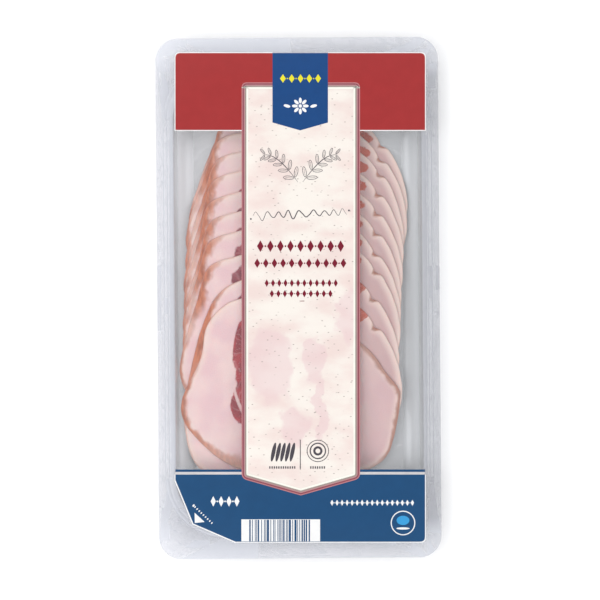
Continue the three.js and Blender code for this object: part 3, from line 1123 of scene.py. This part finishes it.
@dataclass
class Motif:
    """Small flat shapes of one ink, gathered into one printed piece."""

    name: str
    ink: Ink
    layer: int = 2
    lozenge: float = 0.66  # a frieze's lozenge's width, as a share of their spacing
    dot: float = 0.16  # a frieze's dot's width, as a share of its height
    bm: Mesh = field(default_factory=bmesh.new)

    def blob(
        self, x: float, y: float, wide: float, high: float, turn: float = 0.0, sides: int = 20
    ) -> Motif:
        """Adds a filled oval, or a lozenge if it has four sides.

        Args:
            x: Its middle's place across.
            y: Its middle's place along.
            wide: Its width.
            high: Its height.
            turn: Its turn in degrees.
            sides: Its number of sides.

        Returns:
            The motif itself.
        """
        place = Matrix.Translation((x, y, 0)) @ Matrix.Rotation(math.radians(turn), 4, "Z")
        size = Matrix.Diagonal((wide / 2, high / 2, 1, 1))
        bmesh.ops.create_circle(self.bm, cap_ends=True, radius=1, segments=sides, matrix=place @ size)
        return self

    def hoop(self, x: float, y: float, wide: float, high: float, line: float, turn: float = 0.0) -> Motif:
        """Adds an oval's outline.

        Args:
            x: Its middle's place across.
            y: Its middle's place along.
            wide: Its width.
            high: Its height.
            line: The outline's width.
            turn: Its turn in degrees.

        Returns:
            The motif itself.
        """
        before = set(self.bm.faces)
        self.blob(x, y, wide, high, turn, sides=32)
        face = [f for f in self.bm.faces if f not in before]
        bmesh.ops.inset_region(self.bm, faces=face, thickness=line, use_boundary=True, use_even_offset=True)
        bmesh.ops.delete(self.bm, geom=face, context="FACES")
        return self

    def shape(self, corners: Iterable[Point]) -> Motif:
        """Adds a filled shape by its corners."""
        self.bm.faces.new([self.bm.verts.new((x, y, 0)) for x, y in corners])
        return self

    def bar(self, left: float, bottom: float, right: float, top: float) -> Motif:
        """Adds an upright rectangle."""
        return self.shape([(left, bottom), (right, bottom), (right, top), (left, top)])

    def stroke(self, points: Sequence[Point], width: float, taper: float = 0.3) -> Motif:
        """Adds a pen stroke.

        Args:
            points: The stroke's middle line, which doesn't cross itself.
            width: Its width in the middle.
            taper: Its width at both ends, as a share of that.

        Returns:
            The motif itself.
        """
        line = [Vector((x, y, 0)) for x, y in points]
        sides = []
        for index, spot in enumerate(line):
            way = line[min(index + 1, len(line) - 1)] - line[max(index - 1, 0)]
            across = Vector((-way.y, way.x, 0)).normalized()
            swell = math.sin(math.pi * index / (len(line) - 1))
            half = width / 2 * (taper + (1 - taper) * swell)
            sides.append([self.bm.verts.new(spot + across * half * side) for side in (-1, 1)])
        for (low_a, high_a), (low_b, high_b) in zip(sides, sides[1:]):
            self.bm.faces.new([low_a, low_b, high_b, high_a])
        return self

    def frieze(self, left: float, right: float, bottom: float, top: float, count: int) -> Motif:
        """Adds a row of lozenges with a dot between each two.

        Args:
            left: Where the row starts.
            right: Where it ends.
            bottom: Its lower edge.
            top: Its upper edge.
            count: Number of lozenges.

        Returns:
            The motif itself.
        """
        pitch = (right - left) / count
        high = top - bottom
        middle = (top + bottom) / 2
        for index in range(count):
            x = left + pitch * (index + 0.5)
            self.blob(x, middle, pitch * self.lozenge, high, sides=4)
            if index:
                self.blob(x - pitch / 2, middle, high * self.dot, high * self.dot, sides=10)
        return self

    def put(self, press: Press) -> None:
        """Prints the motif."""
        press.put(self.name, self.bm, self.ink.value, self.layer)


@dataclass
class Ornaments:
    """Plain ornaments of the builder's own in the places of the pack's words and pictures."""

    press: Press
    middle: float = 0.9  # the middle line of the sprigs and of the tab
    sprig_y: float = 57.5
    sprig_foot: float = 1.2  # from the middle line to a stem's start
    sprig_reach: float = 17.5
    sprig_rise: float = 13.5
    sprig_curl: float = 1.7
    sprig_parts: int = 24
    leaf_pairs: int = 6
    leaf: float = 5.4
    leaf_shrink: float = 0.4
    leaf_slim: float = 0.36
    leaf_lean: float = 48.0  # degrees between a leaf and its stem
    rosette_y: float = 95.2
    rosette_radius: float = 2.7
    petals: int = 8
    sign_x: float = 9.6
    sign_y: float = -75.8
    badge_x: float = 51.8
    peel: Point = (-52.3, -102.6)
    peel_step: Point = (1.04, -0.99)
    code_foot: float = -120.6
    code_widths: tuple[float, ...] = (0.35, 0.35, 0.7, 1.05)
    code_seed: int = 5

    def leaf_sprigs(self) -> None:
        """Prints two leafy sprigs that part from the middle of the panel's head."""
        motif = Motif("leaf_sprigs", Ink.GREY)
        for side in (-1, 1):
            stem = []
            for part in range(self.sprig_parts + 1):
                share = part / self.sprig_parts
                x = self.middle + side * (self.sprig_foot + self.sprig_reach * share)
                stem.append((x, self.sprig_y + self.sprig_rise * math.sin(share * self.sprig_curl)))
            motif.stroke(stem, 0.42)
            for pair in range(self.leaf_pairs):
                part = 4 * pair + 2
                bend = math.cos(self.sprig_curl * part / self.sprig_parts)
                slope = self.sprig_rise * self.sprig_curl * bend
                way = math.degrees(math.atan2(slope, side * self.sprig_reach))
                for lean in (-self.leaf_lean, self.leaf_lean):
                    self.leaf_at(motif, stem[part], self.leaf - self.leaf_shrink * pair, way + lean)
        motif.put(self.press)

    def leaf_at(self, motif: Motif, foot: Point, size: float, turn: float) -> None:
        """Adds one leaf with its vein.

        Args:
            motif: The motif that takes it.
            foot: Where it grows from its stem.
            size: Its length.
            turn: Its turn in degrees.
        """
        x, y = foot
        reach = math.radians(turn)
        spot = (x + (size / 2 + 0.5) * math.cos(reach), y + (size / 2 + 0.5) * math.sin(reach))
        motif.hoop(*spot, size, size * self.leaf_slim, 0.24, turn)
        ends = (size * 0.25, size * 0.9)
        motif.stroke([(x + k * math.cos(reach), y + k * math.sin(reach)) for k in ends], 0.16, taper=0.8)

    def flourish(self) -> None:
        """Prints a winding pen line under the sprigs."""
        motif = Motif("pen_flourish", Ink.GREY)
        line = []
        for step in range(121):
            share = step / 120
            swing = 1.1 + 2.4 * abs(noise.noise(Vector((share * 9, 0.3, 1.7))))
            beat = math.sin(math.tau * (8.5 * share + 0.5 * noise.noise(Vector((share * 4, 2.1, 0.4)))))
            line.append((-22.5 + 46.5 * share, 40.6 + 2.0 * share + swing * beat))
        motif.stroke(line, 0.5)
        for x, y in ((-23.6, 39.2), (25.0, 43.4)):
            motif.blob(x, y, 0.9, 0.9, sides=12)
        motif.put(self.press)

    def title_friezes(self) -> None:
        """Prints four rows of wine red lozenges and a short dash."""
        motif = Motif("wine_friezes", Ink.WINE)
        motif.frieze(-21.4, 23.4, 22.8, 28.6, 9)
        motif.frieze(-22.6, 24.4, 14.9, 19.6, 11)
        motif.frieze(-17.3, 20.0, 5.5, 9.3, 12)
        motif.frieze(-14.8, 17.4, 0.3, 4.0, 10)
        motif.bar(0.6, -1.65, 2.9, -1.35)
        motif.put(self.press)

    def signs(self) -> None:
        """Prints the two signs at the panel's foot with the line between and rows of ticks below."""
        motif = Motif("panel_signs", Ink.GREY)
        for step in range(5):
            motif.blob(-12.4 + 2.35 * step, -76.4, 1.9, 9.6, turn=-12)
        motif.bar(0.7, -85.0, 1.1, -70.2)
        for wide, line in ((11.0, 0.35), (8.2, 0.6), (4.6, 1.1)):
            motif.hoop(self.sign_x, self.sign_y, wide, wide, line)
        for left, count in ((-14.5, 12), (5.8, 7)):
            for step in range(count):
                motif.bar(left + 1.12 * step, -84.6, left + 1.12 * step + 0.62, -83.4)
        motif.put(self.press)

    def tab_badge(self) -> None:
        """Prints a yellow row and a white rosette between two leaves on the tab."""
        Motif("tab_frieze", Ink.YELLOW, 3).frieze(-9.9, 11.9, 106.7, 110.9, 5).put(self.press)
        rosette = Motif("tab_rosette", Ink.WHITE, 3)
        for petal in range(self.petals):
            turn = math.tau * petal / self.petals
            x = self.middle + self.rosette_radius * math.cos(turn)
            y = self.rosette_y + self.rosette_radius * math.sin(turn)
            rosette.blob(x, y, 2.9, 1.5, turn=math.degrees(turn))
        rosette.blob(self.middle, self.rosette_y, 1.7, 1.7)
        for side in (-1, 1):
            rosette.blob(self.middle + side * 6.6, self.rosette_y, 3.4, 1.5, turn=side * 14)
        rosette.put(self.press)

    def foot_marks(self) -> None:
        """Prints the blue field's white marks: two rows, a peel arrow with ticks, and a round badge."""
        marks = Motif("foot_marks", Ink.WHITE, 3)
        marks.frieze(-44.2, -28.6, -103.4, -98.2, 4)
        marks.frieze(15.4, 57.7, -103.0, -100.0, 17)
        (x, y), (across, along) = self.peel, self.peel_step
        marks.stroke([(x + across * k, y + along * k) for k in (0.0, 0.6)], 1.2, taper=1.0)
        for step in range(1, 10):
            marks.blob(x + across * step, y + along * step, 0.75, 1.3, turn=-45, sides=4)
        marks.hoop(self.badge_x, -111.5, 12.2, 12.2, 0.5)
        marks.blob(self.badge_x, -114.2, 6.6, 1.1)
        marks.shape([(-51.5, -106.4), (-51.4, -111.5), (-46.5, -111.0)])
        marks.put(self.press)
        Motif("badge_disc", Ink.SKY, 3).blob(self.badge_x, -110.2, 6.4, 4.6).put(self.press)

    def code_block(self) -> None:
        """Prints a white block with bars of random width, which encode nothing."""
        Motif("code_block", Ink.WHITE, 3).bar(-28.3, self.code_foot, 10.7, -109.7).put(self.press)
        chance = random.Random(self.code_seed)
        bars = Motif("code_bars", Ink.BLUE, 4)
        x = -24.4
        while x < 6.0:
            width = chance.choice(self.code_widths)
            bars.bar(x, self.code_foot, x + width, -109.9)
            x += width + chance.choice(self.code_widths)
        bars.put(self.press)

    def build(self) -> None:
        """Prints every ornament."""
        self.leaf_sprigs()
        self.flourish()
        self.title_friezes()
        self.signs()
        self.tab_badge()
        self.foot_marks()
        self.code_block()


@dataclass
class Pile:
    """The eleven slices, laid like shingles on a bed that slopes from the pack's head to its foot."""

    count: int = 11
    slice: float = 1.1
    gap: float = 0.2
    wall: float = 0.6
    bed_lift: float = 0.9
    bed_fold_y: float = 3.6
    bed_pitch: float = 10.37
    bed_steps: float = 9.0
    bed_wave: float = 0.3
    bed_wave_x: float = 85.0
    bed_wave_y: float = 110.0
    relief: float = 0.12  # height of the folds that all slices share
    relief_size: float = 14.0
    sectors: int = 220
    shares: tuple[float, ...] = (0.99, 0.975, 0.95, 0.92, 0.88, 0.82, 0.74, 0.62, 0.48, 0.32, 0.15)
    rim_bevel: float = 0.42
    drift: Point = (-0.2, 0.5)  # by which the muscles move along the roll from slice to slice
    cut_step: float = 1.2  # by which the meat's pattern moves on from slice to slice
    ragged: float = 0.22  # how far the edge strays in and out
    ragged_size: float = 5.0
    # Angle round the slice in degrees, and the spiced band's width and strength there.
    rim: Knots = (
        (-172, 2.4, 0.85),
        (-160, 2.0, 0.65),
        (-145, 1.0, 0.3),
        (-90, 0.8, 0.2),
        (-30, 0.8, 0.1),
        (20, 0.6, 0.05),
        (32.5, 0.8, 0.1),
        (34.5, 2.4, 0.95),
        (37, 2.4, 0.95),
        (39, 0.8, 0.1),
        (95, 0.7, 0.1),
        (127, 1.2, 0.25),
        (132, 3.2, 0.6),
        (137, 5.2, 0.95),
        (150, 5.6, 1.0),
        (157, 4.8, 0.85),
        (163, 4.0, 0.5),
        (171, 3.4, 0.45),
        (177, 2.4, 0.8),
    )
    lower_rim: Knots = (
        (-172, 3.4, 0.6),
        (-160, 1.4, 0.35),
        (-90, 0.8, 0.2),
        (20, 0.6, 0.05),
        (32.5, 0.8, 0.1),
        (34.5, 2.4, 0.95),
        (37, 2.4, 0.95),
        (39, 0.8, 0.1),
        (95, 0.7, 0.1),
        (124, 1.0, 0.4),
        (134, 2.4, 0.8),
        (140, 5.2, 1.0),
        (152, 6.4, 1.0),
        (164, 8.0, 1.0),
        (176, 7.0, 0.9),
    )
    front_rim: Knots = (
        (-172, 3.4, 0.95),
        (-160, 3.6, 0.85),
        (-148, 5.2, 0.7),
        (-137, 7.6, 0.6),
        (-126, 8.6, 0.5),
        (-105, 6.0, 0.4),
        (-60, 3.0, 0.3),
        (-34, 1.8, 0.4),
        (-24, 2.4, 0.85),
        (0, 2.8, 0.9),
        (30, 3.0, 0.8),
        (44, 2.4, 0.65),
        (60, 1.0, 0.2),
        (100, 0.8, 0.15),
        (128, 0.9, 0.3),
        (150, 1.0, 0.3),
        (162, 1.6, 0.5),
        (168, 2.8, 0.95),
        (178, 3.2, 0.95),
    )
    notch_angle: float = 36.0
    notch_depth: float = 2.0
    notch_half: float = 4.5  # degrees over which the notch ends at its lower side
    notch_fade: float = 12.0  # and at its upper side

    def bed(self, x: float, y: float) -> float:
        """Gives the height of the bed under the first slice.

        Args:
            x: The place across.
            y: The place along.

        Returns:
            The bed's height over the table.
        """
        steps = math.log(1 + math.exp((self.bed_fold_y - y) / self.bed_pitch))
        settled = self.bed_steps - math.log(1 + math.exp(self.bed_steps - steps))
        wave = math.cos(math.tau * x / self.bed_wave_x) * math.cos(math.tau * y / self.bed_wave_y)
        folds = noise.noise(Vector((x / self.relief_size, y / self.relief_size, 4.2)))
        slope = settled * (self.slice + self.gap)
        return self.wall + self.bed_lift - slope + self.bed_wave * wave + self.relief * folds

    def outline(self, node: bpy.types.Object) -> tuple[Vector, list[Vector]]:
        """Reads a slice's middle and edge from its solid in the frame.

        Args:
            node: The frame's solid.

        Returns:
            Its middle, and its edge as a smooth loop of `sectors` points.
        """
        bm = bmesh.new()
        bm.from_mesh(node.data)
        bmesh.ops.remove_doubles(bm, verts=bm.verts, dist=1e-6)
        bmesh.ops.scale(bm, vec=(1 / MM,) * 3, verts=bm.verts)
        bmesh.ops.rotate(bm, cent=(0, 0, 0), matrix=Matrix.Rotation(-LAY_TURN, 3, "Z"), verts=bm.verts)
        poles = sorted(bm.verts, key=lambda v: len(v.link_edges))[-2:]
        middle = (poles[0].co + poles[1].co) / 2
        middle.z = 0
        spokes = [Vector((*v.co.xy, 0)) - middle for v in bm.verts if v not in poles]
        bm.free()
        same = math.cos(math.radians(2))
        edge = []
        for s in spokes:
            beside = (o for o in spokes if o.normalized().dot(s.normalized()) > same)
            if not any(o.length > s.length + 0.01 for o in beside):
                edge.append(s)
        edge.sort(key=lambda s: math.atan2(s.y, s.x))
        parts = self.sectors // len(edge)
        loop = []
        for i in range(len(edge)):
            before, start, end, after = (edge[(i + k) % len(edge)] for k in (-1, 0, 1, 2))
            handles = (start + (end - before) / 6, end - (after - start) / 6)
            loop.extend(interpolate_bezier(start, *handles, end, parts + 1)[:-1])
        return middle, loop

    def knots_at(self, knots: Knots, angle: float) -> tuple[float, float]:
        """Reads the spiced band at one angle.

        Args:
            knots: Angles with the band's width and strength.
            angle: The angle in degrees.

        Returns:
            The band's width and strength.
        """
        first, last = knots[0], knots[-1]
        ring = [(last[0] - 360, *last[1:]), *knots, (first[0] + 360, *first[1:])]
        for low, high in zip(ring, ring[1:]):
            if low[0] <= angle <= high[0]:
                share = smoothstep(low[0], high[0], angle)
                return low[1] + (high[1] - low[1]) * share, low[2] + (high[2] - low[2]) * share
        return first[1], first[2]

    def build_slice(
        self, index: int, node: bpy.types.Object, material: bpy.types.Material
    ) -> bpy.types.Object:
        """Builds one slice as a thin round-edged disc that follows the bed.

        Args:
            index: The slice's number from nought.
            node: The frame's solid that it stands for.
            material: The meat.

        Returns:
            The slice.
        """
        front = index == self.count - 1
        middle, loop = self.outline(node)
        count = len(loop)
        for k, spoke in enumerate(loop):
            angle = math.degrees(math.atan2(spoke.y, spoke.x))
            spot = Vector((spoke.x / self.ragged_size, spoke.y / self.ragged_size, index * 3.1))
            ragged = self.ragged * noise.noise(spot)
            beyond = angle - self.notch_angle
            fade = self.notch_fade if beyond > 0 else self.notch_half
            dent = 0.0 if front else max(0.0, 1 - abs(beyond) / fade) ** 2
            loop[k] = spoke * (1 + (ragged - self.notch_depth * dent) / spoke.length)
        bm = bmesh.new()
        bmesh.ops.create_circle(bm, cap_ends=True, radius=1, segments=count)
        face = bm.faces[:][0]
        reach = 1.0
        for share in self.shares:
            bmesh.ops.inset_region(
                bm, faces=[face], thickness=reach - share, use_boundary=True, use_even_offset=True
            )
            reach = share
        bmesh.ops.poke(bm, faces=[face])
        for vert in bm.verts:
            share = math.hypot(vert.co.x, vert.co.y)
            k = round(math.atan2(vert.co.y, vert.co.x) / math.tau * count) % count
            vert.co = middle + loop[k] * share
        bmesh.ops.recalc_face_normals(bm, faces=bm.faces)
        if bm.faces[:][0].normal.z < 0:
            bmesh.ops.reverse_faces(bm, faces=bm.faces)
        bmesh.ops.solidify(bm, geom=bm.faces[:], thickness=self.slice)
        bmesh.ops.recalc_face_normals(bm, faces=bm.faces)
        corners = [e for e in bm.edges if e.is_manifold and e.calc_face_angle() > math.radians(60)]
        bmesh.ops.bevel(
            bm, geom=corners, offset=self.rim_bevel, segments=3, affect="EDGES", profile=0.5, material=-1
        )
        self.write_attributes(bm, index, middle, loop)
        heights = [v.co.z for v in bm.verts]
        lowest = min(heights)
        for vert in bm.verts:
            base = self.bed(vert.co.x, vert.co.y) + index * (self.slice + self.gap)
            vert.co.z = base + vert.co.z - lowest
        name = f"pancetta_slice_{index + 1:02d}"
        return finish_piece(name, bm, material, [node.name], sharp=80.0)

    def write_attributes(
        self, bm: Mesh, index: int, middle: Vector, loop: Sequence[Vector]
    ) -> None:
        """Stores where each point lies on its slice, for the meat's pattern.

        Args:
            bm: The slice.
            index: The slice's number from nought.
            middle: Its middle.
            loop: Its edge, from its middle.
        """
        front = index == self.count - 1
        knots = {self.count - 1: self.front_rim, self.count - 2: self.lower_rim}.get(index, self.rim)
        tree = kdtree.KDTree(len(loop))
        for k, spoke in enumerate(loop):
            tree.insert(spoke, k)
        tree.balance()
        cut = bm.verts.layers.float_vector.new("cut_mm")
        rim = bm.verts.layers.float.new("rim_mm")
        width = bm.verts.layers.float.new("spice_mm")
        strength = bm.verts.layers.float.new("spice")
        steps = 0.0 if front else index - self.count / 2
        for vert in bm.verts:
            spoke = Vector((vert.co.x - middle.x, vert.co.y - middle.y, 0))
            across, along = (spoke[k] - self.drift[k] * steps for k in (0, 1))
            vert[cut] = (across, along, self.cut_step * index)
            vert[rim] = tree.find(spoke)[2]
            angle = math.degrees(math.atan2(spoke.y, spoke.x))
            vert[width], vert[strength] = self.knots_at(knots, angle)

    def build(self, nodes: dict[str, bpy.types.Object]) -> None:
        """Builds every slice.

        Args:
            nodes: The frame's solids by name.
        """
        middle_meat = RolledPancetta("rolled_pancetta", Cut.MIDDLE).make()
        lower_meat = RolledPancetta("rolled_pancetta_lower", Cut.LOWER).make()
        front_meat = RolledPancetta("rolled_pancetta_front", Cut.FRONT).make()
        meats = [middle_meat] * (self.count - 3) + [lower_meat] * 2 + [front_meat]
        for index, meat in enumerate(meats):
            self.build_slice(index, nodes[f"slice_{index + 1:02d}"], meat)


@dataclass(frozen=True)
class WhiteSweep(Finish):
    """Matt white paper under the pack."""

    def surface(self, tree: Tree) -> Socket:
        """Fills the tree and returns the shader that shows."""
        return add(tree, "BsdfDiffuse", {"Color": "#FFFFFF"})


@dataclass(frozen=True)
class SoftBox:
    """A square soft box that points at the pack: its place and side in metres, its power in watts."""

    name: str
    place: tuple[float, float, float]
    size: float
    power: float

    def hang(self) -> None:
        """Adds the light to the scene."""
        data = bpy.data.lights.new(self.name, "AREA")
        data.shape = "SQUARE"
        data.size = self.size
        data.energy = self.power
        lamp = bpy.data.objects.new(self.name, data)
        lamp.location = self.place
        lamp.rotation_euler = (-Vector(self.place)).to_track_quat("-Z", "Y").to_euler()
        bpy.context.scene.collection.objects.link(lamp)


@dataclass
class Studio:
    """A white floor, soft boxes at the sides and a long lens that looks straight down."""

    film_top: float
    view_width: float = 297.4  # of the picture, at the film
    view_x: float = 0.74
    view_y: float = -0.99
    lens: float = 135.0
    sensor: float = 36.0
    floor_size: float = 6000.0
    world: float = 0.48
    # The boxes stand out of the lid's mirror as the lens sees it, so that the meat keeps its colour.
    boxes: tuple[SoftBox, ...] = (
        SoftBox("left", (-0.95, -0.05, 1.5), 1.0, 10.0),
        SoftBox("foot", (-0.2, -0.9, 1.6), 1.0, 8.6),
        SoftBox("head", (-0.2, 0.85, 1.7), 1.0, 8.2),
        SoftBox("right", (0.95, 0.0, 1.5), 1.0, 5.6),
    )

    def build(self) -> None:
        """Sets the floor, lights, world and camera."""
        bm = bmesh.new()
        bmesh.ops.create_grid(bm, x_segments=1, y_segments=1, size=self.floor_size / 2 * MM)
        mesh = bpy.data.meshes.new("studio_floor")
        bm.to_mesh(mesh)
        bm.free()
        floor = bpy.data.objects.new("studio_floor", mesh)
        bpy.context.scene.collection.objects.link(floor)
        mesh.materials.append(WhiteSweep("white_sweep").make())
        for box in self.boxes:
            box.hang()
        scene = bpy.context.scene
        world = bpy.data.worlds.new("soft_room")
        world.use_nodes = True
        world.node_tree.nodes.clear()
        sky = add(world.node_tree, "Background", {"Color": "#FAFBFD", "Strength": self.world})
        add(world.node_tree, "OutputWorld", {"Surface": sky})
        scene.world = world
        scene.view_settings.view_transform = "Standard"
        data = bpy.data.cameras.new("overhead")
        data.lens = self.lens
        data.sensor_width = self.sensor
        data.clip_end = 20.0
        camera = bpy.data.objects.new("overhead", data)
        scene.collection.objects.link(camera)
        distance = self.view_width / 2 / (self.sensor / 2 / self.lens)
        camera.location = Vector((self.view_x, self.view_y, self.film_top + distance)) * MM
        camera.rotation_euler = (0.0, 0.0, LAY_TURN)
        scene.camera = camera


def main() -> None:
    """Builds the studio and the pack round the frame."""
    logging.basicConfig(level=logging.INFO, format="%(name)s: %(message)s")
    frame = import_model()
    tray = FormedTray.from_frame()
    film = LidFilm.from_frame(tray)
    Studio(film_top=film.top).build()
    tray.build(SealedSheet("clear_formed_pet", tint="#FFFFFF").make())
    film.build(ClearSheet("clear_lid_pet", tint="#FDFDFE", haze=0.012, roughness=0.2).make())
    press = Press(film)
    PrintedFields(press).build()
    Ornaments(press).build()
    Pile().build(frame["nodes"])


if __name__ == "__main__":
    main()
